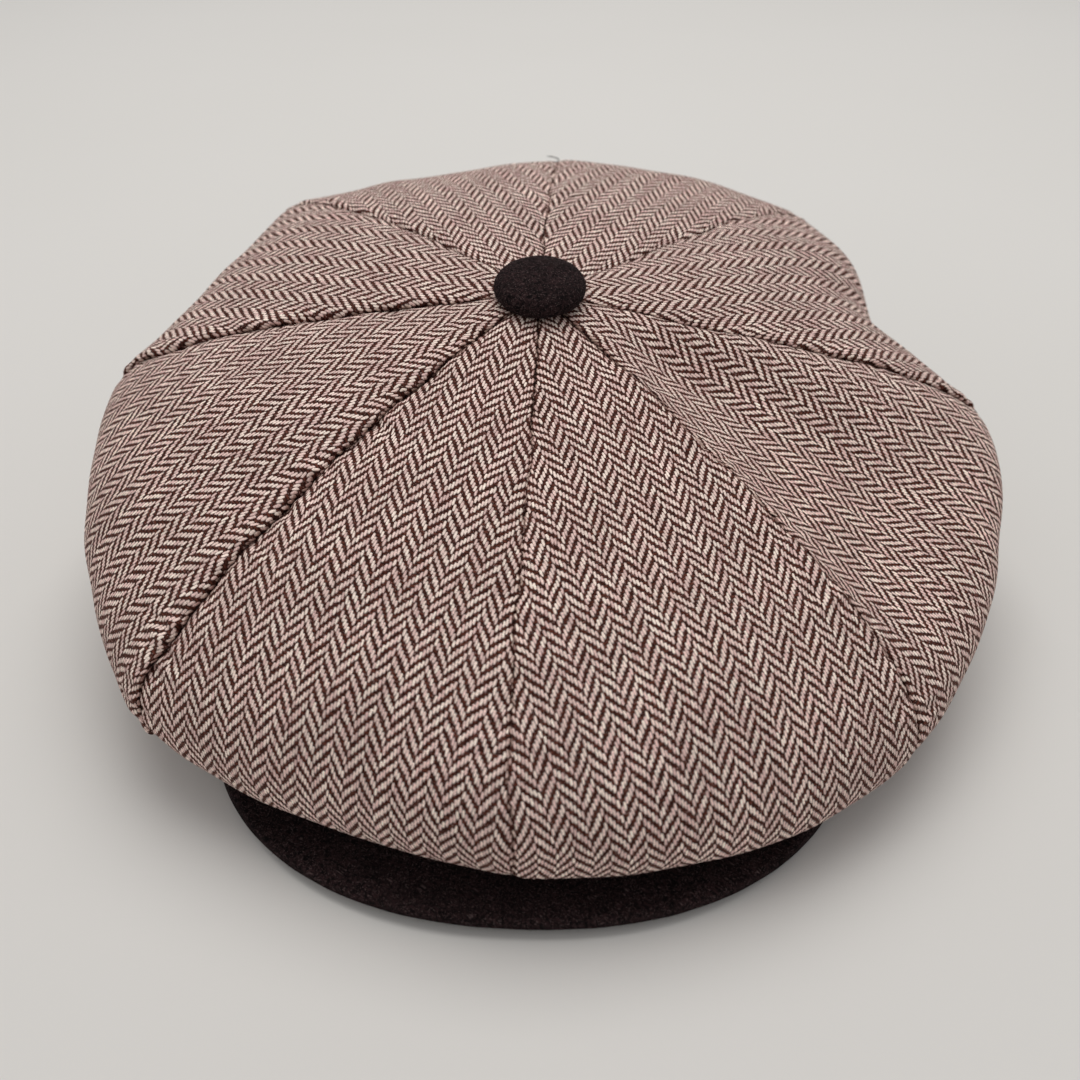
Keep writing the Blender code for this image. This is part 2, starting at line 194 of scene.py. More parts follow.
def bezier(points, t):
    """Cubic Bezier of (radius, height) pairs."""
    weights = ((1 - t) ** 3, 3 * t * (1 - t) ** 2, 3 * t * t * (1 - t), t**3)
    radius = sum(w * p[0] for w, p in zip(weights, points))
    height = sum(w * p[1] for w, p in zip(weights, points))
    return radius, height


def crown_curves(turn):
    """Control points of the crown's upper and lower curves."""
    reach, rim, upper, outer = (seam_blend(SEAM_SHAPES[:, k], turn) for k in range(4))
    band = band_reach(turn * GORE_ANGLE + SEAM_TURN)
    under = np.maximum(rim - UNDER_DROP, UNDER_MIN_Z)
    top = ((0, APEX.z), (SHOULDER_SHARE * reach, upper), (reach, outer), (reach, rim))
    bottom = ((reach, rim), (reach, under), (band + UNDER_REACH, BAND_TOP - UNDER_RISE),
              (band, BAND_TOP))
    return top, bottom


LINING_INSET = 0.006
LINING_DROP = 0.0055
LINING_RISE = 0.008
LINING_END_INSET = 0.0018
LINING_END_RISE = 0.0038


def lining_curves(turn):
    """The same for the lining, which hangs inside the crown."""
    top, bottom = crown_curves(turn)
    reach = top[3][0] - LINING_INSET
    rim = top[3][1] + 0.001
    inner_top = ((0, APEX.z - LINING_DROP), (top[1][0], top[1][1] - LINING_DROP),
                 (reach, top[2][1] - LINING_DROP), (reach, rim))
    inner_bottom = ((reach, rim), (reach, bottom[1][1] + LINING_RISE),
                    (bottom[2][0] - LINING_INSET, bottom[2][1] + LINING_RISE),
                    (bottom[3][0] - LINING_END_INSET, bottom[3][1] + LINING_END_RISE))
    return inner_top, inner_bottom


def crown_point(turn, station, curves, gore):
    """Points of the crown; station runs 0 to 1 down to the widest line and on to 2 at the band."""
    top, bottom = curves(turn)
    low = station > 1
    radius_top, height_top = bezier(top, np.minimum(station, 1))
    radius_low, height_low = bezier(bottom, np.maximum(station - 1, 0))
    radius = np.where(low, radius_low, radius_top)
    height = np.where(low, height_low, height_top)
    widest = top[3][0]
    inner = np.where(low, bottom[3][0], 0.0)
    weight = ((radius - inner) / (widest - inner)) ** 2
    middle = np.clip(turn - gore - 0.5, -0.5, 0.5) * GORE_ANGLE
    straight = np.cos(GORE_ANGLE / 2) / np.cos(middle)
    squeeze = 1 - (1 - GORE_FULLNESS[gore % GORE_COUNT]) * (1 - straight) * weight
    azimuth = turn * GORE_ANGLE + SEAM_TURN
    out = np.minimum(station, 1)
    azimuth = azimuth + seam_blend(SEAM_SWING[:, 0], turn) * out**2
    azimuth = azimuth + seam_blend(SEAM_SWING[:, 1], turn) * np.sin(np.pi * out)
    dimple = APEX_DIMPLE * np.exp(-((radius / APEX_DIMPLE_RADIUS) ** 2))
    x = APEX.x + radius * squeeze * np.sin(azimuth)
    y = APEX.y - radius * squeeze * np.cos(azimuth)
    return np.stack(np.broadcast_arrays(x, y, height - dimple), -1)


def unit(vectors):
    """Vectors scaled to length 1."""
    return vectors / np.maximum(np.linalg.norm(vectors, axis=-1, keepdims=True), 1e-12)


def smooth(low, high, x):
    """0 below low, 1 above high, and a smooth step between."""
    t = np.clip((x - low) / (high - low), 0, 1)
    return t * t * (3 - 2 * t)


def wavy(x, seed):
    """Slow, repeatable ups and downs between -1 and 1 along x, with period about 1."""
    phase = seed * 2.399
    return (np.sin(TAU * x + phase) + 0.6 * np.sin(TAU * 1.7 * x + 2.1 * phase)
            + 0.4 * np.sin(TAU * 0.43 * x + 0.7 * phase)) / 2


def grid_normals(points):
    """Outward unit normals of a gore's grid, whose rows run from the first seam to the second."""
    across = np.gradient(points, axis=0)
    along = np.gradient(points, axis=1)
    return unit(np.cross(along, across))


def arc(points, axis):
    """Distance along a grid's lines from their start."""
    steps = np.linalg.norm(np.diff(points, axis=axis), axis=-1)
    length = np.cumsum(steps, axis=axis)
    start = np.zeros_like(np.take(length, [0], axis=axis))
    return np.concatenate([start, length], axis=axis)


def start_station(radius):
    """Station where the crown is a given radius from its axis, near the apex."""
    return radius / (3 * SHOULDER_SHARE * SEAM_SHAPES[0][0])


def gore_grid(gore, curves, across_count, top_count, under_count):
    """Base grid of one gore, packed closer beside its seams."""
    even = np.linspace(0, 1, across_count)
    share = even - SEAM_CROWDING * np.sin(TAU * even) / TAU
    stations = np.concatenate([
        np.linspace(start_station(SHANK_HOLE_RADIUS), 1, top_count),
        np.linspace(1, 2, under_count + 1)[1:],
    ])
    turn, station = np.meshgrid(gore + share, stations, indexing="ij")
    return crown_point(turn, station, curves, gore), share, stations


def seam_direction(seam, stations, curves):
    """Outward direction at a seam, shared by the two gores that meet there."""
    step = 0.04
    sides = [crown_point(np.full_like(stations, seam + d), stations, curves, gore)
             for d, gore in ((-step, seam - 1), (step, seam))]
    along = np.gradient((sides[0] + sides[1]) / 2, axis=0)
    return unit(np.cross(along, sides[1] - sides[0]))


def side_direction(turn):
    """Level direction across a seam, towards higher turn."""
    azimuth = turn * GORE_ANGLE + SEAM_TURN
    return np.array((np.cos(azimuth), np.sin(azimuth), 0.0))


FOLDS_ACROSS = 2.5
FOLD_DECAY = 0.009
FURROW_AWAY = 0.017
RIDGE_DECAY = 0.012
FACING_DECAY = 0.006
JAG_DEPTH = 0.00052
JAG_WAVE = 0.0042
SEAM_WANDER = 0.0006
WANDER_WIDTH = 0.01
GATHER_START = 0.0012
JAG_WIDTH = 0.0015
ROLL_WIDTH = 0.0018
TUCK_WIDTH = 0.004
# Where along a seam its ridge and furrow rise and end, and across which share of the gore.
FURROW_RISE = (0.02, 0.05)
FURROW_END = (0.12, 0.17)
FURROW_SHARE = (0.45, 0.98)


def dress_seam(normals, edge, span, length, number, after, shared, scale):
    """How the cloth sinks, gathers and rolls beside one seam of a gore.

    edge: distance from the seam; span: the gore's width there; after: the gore follows the seam.
    """
    depth, width, lip, start, pucker, wave, furrow, ridge = SEAMS[number]
    total = length[:, -1:]
    near = np.exp(-edge / width)
    facing = np.exp(-edge / FACING_DECAY)[..., None]
    direction = unit(normals * (1 - facing) + shared[None] * facing)
    fade = smooth(0.008, 0.03, length) * (1 - smooth(total - 0.03, total, length))
    strength = 0.75 + 0.35 * wavy(length / 0.045, number + 1)
    lift = -scale * depth * near * strength * (0.35 + 0.65 * fade)
    ripple = np.sin(TAU * (length / wave + 0.6 * wavy(length / 0.05, number + 3)))
    gather = np.exp(-edge / FOLD_DECAY) * (1 - np.exp(-edge / GATHER_START))
    side = 1.0 if after else -0.9
    uneven = 0.55 + 0.6 * wavy(length / 0.03, number + 5 + side)
    lift = lift + scale * pucker * ripple * gather * uneven * fade
    shift = SEAM_WANDER * wavy(length / 0.035, number + 9) * np.exp(-edge / WANDER_WIDTH) * fade
    jag = JAG_DEPTH * wavy(length / JAG_WAVE, number + 13) * np.exp(-edge / JAG_WIDTH)
    shift = shift + jag * fade
    over = lip if after else -lip
    roll = smooth(start, start + 0.03, length) * fade
    roll = roll * (0.7 + 0.35 * wavy(length / 0.04, number + 2)
                   + 0.4 * wavy(length / 0.012, number + 21))
    bulge = (edge / ROLL_WIDTH) * np.exp(1 - edge / ROLL_WIDTH)
    if over > 0:
        toward = -1.0 if after else 1.0
        shift = shift + toward * over * bulge * roll * scale
        lift = lift + 0.9 * over * bulge * roll * scale
    elif over < 0:
        tuck = (edge / TUCK_WIDTH) * np.exp(1 - edge / TUCK_WIDTH)
        lift = lift + 0.5 * over * tuck * roll * scale
    stretch = smooth(*FURROW_RISE, length) * (1 - smooth(*FURROW_END, length))
    inner, outer = (part * span for part in FURROW_SHARE)
    stretch = stretch * (1 - smooth(inner, outer, edge))
    lift = lift + scale * ridge * np.exp(-edge / RIDGE_DECAY) * stretch
    if after:
        trough = 1 - np.exp(-edge / FURROW_AWAY)
        lift = lift - scale * furrow * trough * stretch
    turn = side_direction(number)
    return direction * lift[..., None] + turn * shift[..., None]


def gore_points(gore, curves, counts, scale, puff, folds=0.0):
    """Final points of one gore and its flat-cloth coordinates."""
    points, share, stations = gore_grid(gore, curves, *counts)
    normals = grid_normals(points)
    length = arc(points, 1) + SHANK_HOLE_RADIUS
    across = arc(points, 0)
    width = across[-1:, :]
    total = length[:, -1:]
    before, beyond = (seam_direction(gore + k, stations, curves) for k in (0, 1))
    first = dress_seam(normals, across, width, length, gore, True, before, scale)
    far = (gore + 1) % GORE_COUNT
    second = dress_seam(normals, width - across, width, length, far, False, beyond, scale)
    here = (np.exp(-across / FACING_DECAY) * (1 - share[:, None]))[..., None]
    there = (np.exp((across - width) / FACING_DECAY) * share[:, None])[..., None]
    outward = unit(normals * (1 - here) * (1 - there) + before[None] * here
                   + beyond[None] * there)
    swell = np.clip(np.sin(np.pi * across / width), 0, 1) ** 0.8
    swell = swell * smooth(0.01, 0.10, length) * (1 - smooth(total - 0.07, total, length))
    slack = wavy(length / 0.07 + 0.4 * across / width, gore + 11) * 0.0006 * swell
    slack = slack + wavy(across / 0.045 + length / 0.16, gore + 4) * 0.0005 * swell
    slack = slack + swells(gore + share[:, None], stations)
    turns = across / width * FOLDS_ACROSS + 0.25 * wavy(length / 0.09, gore + 6)
    slack = slack + folds * swell * np.sin(TAU * turns) * smooth(0.03, 0.09, length)
    points = points + first + second + outward * (puff * swell + slack * scale)[..., None]
    flat = flat_cloth(length, across - width / 2, GORE_GRAIN[gore])
    # seam_away: distance from the seams, scaled per seam, which sets the tweed's painted crease
    # shade.
    seam_away = np.minimum(across / SEAM_SHADOW[gore], (width - across) / SEAM_SHADOW[far])
    return points, np.concatenate([flat, seam_away[..., None]], -1)


def swells(turn, station):
    """Height of the soft swells and hollows at a turn and station."""
    height = 0.0
    for at_turn, at_station, turn_spread, station_spread, top in SWELLS:
        away = ((turn - at_turn) / turn_spread) ** 2 + ((station - at_station) / station_spread) ** 2
        height = height + top * np.exp(-away)
    return height


def flat_cloth(length, offset, grain):
    """Where each point lay on the flat cloth: across and along the gore's centre line."""
    angle = offset / length + grain
    return np.stack((length * np.sin(angle), length * np.cos(angle)), -1)


# ---- mesh helpers ----


def smooth_mesh(name, vertices, faces):
    """A smooth-shaded mesh."""
    mesh = bpy.data.meshes.new(name)
    mesh.from_pydata(vertices, [], faces)
    mesh.shade_smooth()
    return mesh


def sheet_mesh(name, points, weave=None, closed=False):
    """A quad sheet through a grid of points; weave holds its flat-cloth coordinates."""
    rows, columns = points.shape[:2]
    index = np.arange(rows * columns).reshape(rows, columns)
    if closed:
        index = np.concatenate([index, index[:1]])
    quads = np.stack((index[:-1, :-1], index[:-1, 1:], index[1:, 1:], index[1:, :-1]), -1)
    mesh = smooth_mesh(name, points.reshape(-1, 3).tolist(), quads.reshape(-1, 4).tolist())
    if weave is not None:
        flat = np.zeros((rows * columns, 3), np.float32)
        flat[:, :weave.shape[-1]] = weave.reshape(rows * columns, -1)
        attribute = mesh.attributes.new("weave", "FLOAT_VECTOR", "POINT")
        attribute.data.foreach_set("vector", flat.ravel())
    return mesh


def add_piece(name, mesh, material, body, slot, *nodes):
    """Link a finished mesh as a piece that rides on a body and stands for CAD nodes."""
    piece = bpy.data.objects.new(name, mesh)
    bpy.context.scene.collection.objects.link(piece)
    if material and not mesh.materials:
        mesh.materials.append(material)
    if body:
        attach(piece, body)
    if nodes:
        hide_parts(*nodes)
    return piece


def thicken(piece, thickness, offset=-1.0):
    """Give a sheet its cloth thickness."""
    solidify = piece.modifiers.new("thickness", "SOLIDIFY")
    solidify.thickness = thickness
    solidify.offset = offset
    return piece


def stitch_row(name, path, outward, material, slot, body="cap", long=0.0028, gap=0.0009,
               thick=0.00026):
    """A row of separate sewing stitches along a path, standing proud of the cloth."""
    away = arc(path, 0)
    count = int(away[-1] / (long + gap))
    sides = TAU * np.arange(6) / 6
    share = np.linspace(0, 1, 7)
    vertices, faces = [], []
    for number in range(count):
        place = number * (long + gap) + long * share
        centre = np.stack([np.interp(place, away, path[:, k]) for k in range(3)], -1)
        out = unit(np.stack([np.interp(place, away, outward[:, k]) for k in range(3)], -1))
        side = unit(np.cross(np.gradient(centre, axis=0), out))
        swell = np.sin(np.pi * share)
        centre = centre + out * (thick * (1.6 * swell - 1.1))[:, None]
        girth = thick * (0.4 + 0.6 * np.sqrt(np.clip(swell, 0, 1)))
        ring = (out[:, None] * np.cos(sides)[None, :, None] + side[:, None] *
                np.sin(sides)[None, :, None])
        first = len(vertices)
        vertices.extend((centre[:, None] + ring * girth[:, None, None]).reshape(-1, 3).tolist())
        faces.extend(tube_faces(first, len(share), len(sides)))
    return add_piece(name, smooth_mesh(name, vertices, faces), material, body, slot)


def tube_faces(first, rings, sides):
    """Faces of a closed tube whose rings follow one another from a first vertex."""
    faces = []
    for ring in range(rings - 1):
        for side in range(sides):
            a = first + ring * sides + side
            b = first + ring * sides + (side + 1) % sides
            faces.append((a, b, b + sides, a + sides))
    faces.append(tuple(first + side for side in reversed(range(sides))))
    last = first + (rings - 1) * sides
    faces.append(tuple(last + side for side in range(sides)))
    return faces


def tube(name, path, radius, material, body, slot, sides=8):
    """A thread or cord along a path."""
    along = unit(np.gradient(path, axis=0))
    guide = np.array((0.3, 0.2, 1.0))
    side = unit(np.cross(along, guide))
    up = np.cross(side, along)
    angle = TAU * np.arange(sides) / sides
    ring = side[:, None] * np.cos(angle)[None, :, None] + up[:, None] * np.sin(angle)[None, :, None]
    points = (path[:, None] + ring * np.broadcast_to(radius, len(path))[:, None, None])
    mesh = smooth_mesh(name, points.reshape(-1, 3).tolist(), tube_faces(0, len(path), sides))
    return add_piece(name, mesh, material, body, slot)


# ---- materials ----


class Nodes:
    """Short names for wiring a material's nodes."""

    def __init__(self, name):
        self.material = bpy.data.materials.new(name)
        self.material.use_nodes = True
        self.tree = self.material.node_tree
        self.shader = self.tree.nodes["Principled BSDF"]

    def link(self, value, socket):
        """Wire a socket, or set a plain value."""
        if isinstance(value, bpy.types.NodeSocket):
            self.tree.links.new(value, socket)
        else:
            socket.default_value = value

    def node(self, kind, *values):
        """A new node with its first inputs set."""
        node = self.tree.nodes.new(kind)
        for value, socket in zip(values, node.inputs):
            self.link(value, socket)
        return node

    def math(self, operation, *values):
        """A Math node's result."""
        node = self.node("ShaderNodeMath", *values)
        node.operation = operation
        return node.outputs[0]

    def plus(self, base, value, factor):
        """base + value * factor."""
        return self.math("ADD", base, self.math("MULTIPLY", value, factor))

    def stray(self, base, noise, amount):
        """base moved up or down by a noise centred on 0.5."""
        return self.plus(base, self.math("SUBTRACT", noise, 0.5), amount)

    def vector(self, x, y, z=0.0):
        """Three values as one vector."""
        return self.node("ShaderNodeCombineXYZ", x, y, z).outputs[0]

    def split(self, vector):
        """The three values of a vector."""
        return self.node("ShaderNodeSeparateXYZ", vector).outputs

    def attribute(self, name):
        """A mesh attribute as a vector."""
        node = self.tree.nodes.new("ShaderNodeAttribute")
        node.attribute_name = name
        return node.outputs["Vector"]

    def position(self):
        """Object coordinates, in metres."""
        return self.tree.nodes.new("ShaderNodeTexCoord").outputs["Object"]

    def noise(self, vector, scale, detail=2.0, roughness=0.5):
        """Noise from 0 to 1."""
        node = self.node("ShaderNodeTexNoise", vector)
        self.link(scale, node.inputs["Scale"])
        node.inputs["Detail"].default_value = detail
        node.inputs["Roughness"].default_value = roughness
        return node.outputs["Fac"]

    def random(self, vector):
        """One steady random value per distinct vector."""
        return self.node("ShaderNodeTexWhiteNoise", vector).outputs["Value"]

    def remap(self, value, low, high, to_low=0.0, to_high=1.0):
        """A smooth step from one range to another."""
        node = self.node("ShaderNodeMapRange", value, low, high, to_low, to_high)
        node.interpolation_type = "SMOOTHSTEP"
        return node.outputs[0]

    def mix(self, factor, first, second, blend="MIX"):
        """Blend of two colours."""
        node = self.tree.nodes.new("ShaderNodeMix")
        node.data_type = "RGBA"
        node.blend_type = blend
        self.link(factor, node.inputs["Factor"])
        self.link(colour(first), node.inputs["A"])
        self.link(colour(second), node.inputs["B"])
        return node.outputs["Result"]

    def tint(self, base, factor):
        """A colour multiplied by a factor, or by one factor per channel."""
        return self.mix(1.0, base, factor, "MULTIPLY")

    def bump(self, height, distance, strength=1.0):
        """Surface relief from a height of 0 to 1."""
        node = self.tree.nodes.new("ShaderNodeBump")
        self.link(height, node.inputs["Height"])
        node.inputs["Distance"].default_value = distance
        node.inputs["Strength"].default_value = strength
        return node.outputs["Normal"]

    def finish(self, base, roughness, normal=None, sheen=0.0, sheen_tint=None, metallic=0.0):
        """Wire the Principled shader and return the material."""
        inputs = self.shader.inputs
        self.link(colour(base), inputs["Base Color"])
        self.link(roughness, inputs["Roughness"])
        inputs["Metallic"].default_value = metallic
        inputs["Specular IOR Level"].default_value = 0.5 if metallic else 0.10
        self.link(sheen, inputs["Sheen Weight"])
        inputs["Sheen Roughness"].default_value = 0.5
        if sheen_tint:
            inputs["Sheen Tint"].default_value = (*sheen_tint, 1.0)
        if normal is not None:
            self.link(normal, inputs["Normal"])
        return self.material


def colour(value):
    """A plain colour as RGBA; a socket as it is."""
    if isinstance(value, tuple) and len(value) == 3:
        return (*value, 1.0)
    return value


def srgb(red, green, blue):
    """Linear colour from everyday 0 to 255 values."""
    parts = np.array((red, green, blue)) / 255
    linear = np.where(parts <= 0.04045, parts / 12.92, ((parts + 0.055) / 1.055) ** 2.4)
    return tuple(float(part) for part in linear)


# Herringbone: ends are the light yarns along the cloth, picks the dark yarns across it.
END_PITCH = 0.00073
PICK_PITCH = 0.00093
ENDS_PER_COLUMN = 6
FLOAT_REPEAT = 4
# Darkest painted shade in the seam creases, then the warm tint of that painted shade.
SEAM_SHADE = 0.28
CREASE_SHADE_TINT = (1.0, 0.72, 0.62)
LIGHT_YARN_PINK = srgb(249, 212, 205)
LIGHT_YARN_CREAM = srgb(254, 236, 223)
DARK_YARN = srgb(50, 25, 19)
DARK_YARN_WARM = srgb(88, 47, 37)
STRAY_HAIR = srgb(104, 88, 87)


def make_tweed():
    """Two-up two-down herringbone of cream ends and dark brown picks, with painted shade in the seam
    creases.
    """
    n = Nodes("herringbone_tweed")
    u, v, seam_away = n.split(n.attribute("weave"))
    weave = n.vector(u, v)
    drift = n.noise(weave, 170.0, 1.0)
    u = n.stray(u, drift, 0.0010)
    drift = n.noise(n.vector(v, u, 3.0), 150.0, 1.0)
    v = n.stray(v, drift, 0.0014)
    ends = n.math("DIVIDE", u, END_PITCH)
    end = n.math("FLOOR", ends)
    across = n.math("MULTIPLY", n.math("SUBTRACT", n.math("FRACT", ends), 0.5), 2.0)
    column = n.math("FLOOR", n.math("DIVIDE", end, float(ENDS_PER_COLUMN)))
    inside = n.math("SUBTRACT", end, n.math("MULTIPLY", column, float(ENDS_PER_COLUMN)))
    odd = n.math("FLOORED_MODULO", column, 2.0)
    falling = n.math("SUBTRACT", float(ENDS_PER_COLUMN + 1), inside)
    rise = n.math("SUBTRACT", falling, inside)
    step = n.plus(inside, odd, rise)
    picks = n.math("DIVIDE", v, PICK_PITCH)
    phase = n.math("DIVIDE", n.math("ADD", picks, step), float(FLOAT_REPEAT))
    place = n.math("FRACT", phase)
    number = n.math("FLOOR", phase)
    loose = n.random(n.vector(end, number, 9.5))
    middle = n.plus(0.21, loose, 0.12)
    along = n.math("DIVIDE", n.math("SUBTRACT", place, middle), 0.29)
    reach = n.math("POWER", n.math("ABSOLUTE", along), 2.4)
    span = n.math("POWER", n.math("MULTIPLY", n.math("ABSOLUTE", across), 0.98), 2.6)
    fray = n.noise(n.vector(n.math("MULTIPLY", u, 1.5), v, 0.0), 1700.0, 3.0, 0.7)
    outline = n.math("ADD", reach, span)
    outline = n.stray(outline, fray, 1.7)
    light = n.remap(outline, 1.20, 0.555)
    yarn = n.random(n.vector(end, number, 0.5))
    strand = n.random(n.vector(end, 7.0, 2.5))
    fuzz = n.noise(n.vector(n.math("MULTIPLY", u, 2.2), v, 0.0), 2600.0, 3.0, 0.65)
    blotch = n.noise(weave, 38.0, 2.0)
    heather = n.noise(weave, 900.0, 2.0)
    cream = n.mix(yarn, LIGHT_YARN_PINK, LIGHT_YARN_CREAM)
    shade = n.plus(0.76, n.math("ADD", strand, yarn), 0.22)
    shade = n.math("MULTIPLY", shade, n.remap(fuzz, 0.25, 0.75, 0.56, 1.46))
    shade = n.math("MULTIPLY", shade, n.remap(blotch, 0.25, 0.75, 0.88, 1.08))
    cream = n.tint(cream, shade)
    dark = n.mix(n.remap(heather, 0.35, 0.7), DARK_YARN, DARK_YARN_WARM)
    # Dark picks get a painted highlight on their crowns and painted shade in the grooves between
    # them; weft also shapes the bump.
    weft = n.math("SINE", n.math("MULTIPLY", n.math("FRACT", picks), float(np.pi)))
    dark = n.tint(dark, n.math("MULTIPLY", n.remap(fuzz, 0.2, 0.85, 0.5, 1.7),
                               n.remap(weft, 0.2, 1.0, 0.55, 1.35)))
    stray = n.noise(n.vector(n.math("MULTIPLY", u, 2.5), v, 4.0), 1300.0, 2.0, 0.6)
    dark = n.mix(n.remap(stray, 0.60, 0.70, 0.0, 0.40), dark, LIGHT_YARN_PINK)
    # Painted shade in the seam creases: a narrow band beside each seam is darkened and tinted,
    # darker still near the apex. gap holds this painted shade.
    crease = n.noise(n.vector(v, 5.0), 420.0, 2.0)
    crease = n.remap(crease, 0.30, 0.68, 0.0003, 0.0016)
    broken = n.noise(n.vector(v, 9.0), 150.0, 2.0)
    deepest = n.remap(broken, 0.40, 0.62, SEAM_SHADE, 0.75)
    deepest = n.math("MINIMUM", deepest, n.remap(v, 0.04, 0.09, 0.2, 1.0))
    gap = n.remap(seam_away, 0.0001, crease, deepest, 1.0)
    base = n.mix(gap, n.vector(*CREASE_SHADE_TINT), n.vector(1.0, 1.0, 1.0))
    base = n.tint(n.tint(n.mix(light, dark, cream), base), gap)
    dome = n.math("SUBTRACT", 1.0, n.math("MULTIPLY", n.math("POWER", across, 2.0), 0.55))
    height = n.plus(n.math("MULTIPLY", light, dome), weft, 0.3)
    height = n.plus(height, fuzz, 0.25)
    normal = n.bump(height, 0.00035, 0.7)
    # The painted crease shade also lowers the sheen.
    sheen = n.remap(gap, SEAM_SHADE, 1.0, 0.0, 0.14)
    return n.finish(base, 0.92, normal, sheen, srgb(220, 180, 168))


def make_wool(name, base, light):
    """Felted wool: matted fibres with paler stray hairs and small dark pits."""
    n = Nodes(name)
    place = n.position()
    warp = n.noise(place, 260.0, 2.0)
    x, y, z = n.split(place)
    twisted = n.vector(n.plus(x, warp, 0.004),
                       n.math("SUBTRACT", y, n.math("MULTIPLY", warp, 0.003)), z)
    felt = n.noise(twisted, 900.0, 4.0, 0.8)
    hair = n.noise(twisted, 2100.0, 2.0, 0.7)
    patch = n.noise(place, 90.0, 2.0)
    tone = n.mix(n.remap(felt, 0.40, 0.62), base, light)
    tone = n.mix(n.remap(hair, 0.55, 0.68, 0.0, 0.75), tone, STRAY_HAIR)
    tone = n.tint(tone, n.remap(patch, 0.25, 0.75, 0.8, 1.2))
    height = n.plus(felt, hair, 0.5)
    return n.finish(tone, 0.95, n.bump(height, 0.0011, 1.0), 0.03, srgb(110, 84, 90))


def make_ribbed(name, base, light, pitch, relief):
    """Ribbed tape: fine cords across the strip, on its weave coordinates."""
    n = Nodes(name)
    weave = n.attribute("weave")
    u, v, _ = n.split(weave)
    cord = n.math("FRACT", n.math("DIVIDE", u, pitch))
    bow = n.math("SINE", n.math("MULTIPLY", cord, float(np.pi)))
    cross = n.math("SINE", n.math("MULTIPLY", v, float(TAU / (pitch * 0.7))))
    grain = n.noise(weave, 2400.0, 3.0, 0.6)
    height = n.plus(bow, cross, 0.15)
    tone = n.mix(n.remap(height, 0.15, 1.0), base, light)
    tone = n.tint(tone, n.remap(grain, 0.25, 0.75, 0.8, 1.2))
    return n.finish(tone, 0.7, n.bump(height, relief, 0.8), 0.1, light)


def make_lining():
    """Smooth twill lining with a fine diagonal and a soft sheen."""
    n = Nodes("lining_twill")
    weave = n.attribute("weave")
    u, v, _ = n.split(weave)
    slant = n.math("FRACT", n.math("DIVIDE", n.math("ADD", u, v), 0.00062))
    line = n.math("SINE", n.math("MULTIPLY", slant, float(np.pi)))
    cloud = n.noise(weave, 60.0, 3.0)
    grain = n.noise(weave, 1900.0, 2.0)
    tone = n.mix(line, srgb(66, 44, 36), srgb(98, 68, 55))
    tone = n.tint(tone, n.remap(cloud, 0.25, 0.75, 0.88, 1.12))
    tone = n.tint(tone, n.remap(grain, 0.3, 0.7, 0.92, 1.08))
    rough = n.remap(cloud, 0.2, 0.8, 0.36, 0.5)
    return n.finish(tone, rough, n.bump(line, 0.00008, 0.6), 0.2, srgb(190, 160, 140))


def make_thread(name, base):
    """Twisted sewing thread."""
    n = Nodes(name)
    twist = n.noise(n.position(), 4200.0, 2.0)
    tone = n.tint(base, n.remap(twist, 0.3, 0.7, 0.7, 1.3))
    return n.finish(tone, 0.6, n.bump(twist, 0.00005, 0.8), 0.1)


def make_metal():
    """Pressed steel of the button's inner parts."""
    n = Nodes("pressed_steel")
    brushed = n.noise(n.position(), 1400.0, 3.0)
    tone = n.mix(n.remap(brushed, 0.3, 0.7), srgb(150, 148, 144), srgb(196, 194, 190))
    rough = n.remap(brushed, 0.2, 0.8, 0.25, 0.5)
    return n.finish(tone, rough, n.bump(brushed, 0.00003, 0.5), metallic=1.0)


def make_board():
    """Matt plastic sheet of the peak's stiffener."""
    n = Nodes("peak_board_plastic")
    grain = n.noise(n.position(), 900.0, 3.0)
    tone = n.mix(n.remap(grain, 0.3, 0.7), srgb(48, 48, 50), srgb(62, 62, 64))
    return n.finish(tone, n.remap(grain, 0.2, 0.8, 0.4, 0.6), n.bump(grain, 0.00005, 0.5))


def make_floor():
    """Plain pale table top."""
    n = Nodes("pale_floor")
    cloud = n.noise(n.position(), 3.0, 3.0)
    tone = n.mix(cloud, srgb(218, 216, 212), srgb(222, 220, 217))
    return n.finish(tone, 0.8)


# ---- crown and lining ----

GORE_COUNTS = (105, 160, 64)
LINING_COUNTS = (49, 60, 26)
TWEED_THICKNESS = 0.0012
LINING_THICKNESS = 0.0004
LINING_FOLDS = 0.0014
LABEL_HALF_WIDTH = 0.027
LABEL_HALF_LENGTH = 0.0165
LABEL_MIDDLE_Y = 0.075
LABEL_DROP = 0.0012
LABEL_STITCH_DROP = 0.0005
TAIL_STATION = 0.62


def build_crown(tweed):
    """Eight tweed gores with their seams."""
    for gore, name in enumerate(GORE_NAMES):
        points, weave = gore_points(gore, crown_curves, GORE_COUNTS, 1.0, GORE_PUFF[gore])
        mesh = sheet_mesh("tweed_" + name, points, weave)
        node = "crown_gore_" + name
        thicken(add_piece("tweed_" + name, mesh, tweed, "cap", "tweed", node), TWEED_THICKNESS)


def build_lining(material):
    """Eight lining gores hanging inside the crown; returns their meshes by name."""
    meshes = {}
    for gore, name in enumerate(GORE_NAMES):
        points, weave = gore_points(gore, lining_curves, LINING_COUNTS, 0.6, -0.001,
                                    LINING_FOLDS)
        mesh = sheet_mesh("lining_" + name, points, weave)
        piece = add_piece("lining_" + name, mesh, material, "cap", "lining_cloth",
                          "lining_gore_" + name)
        thicken(piece, LINING_THICKNESS)
        meshes[name] = mesh
    return meshes


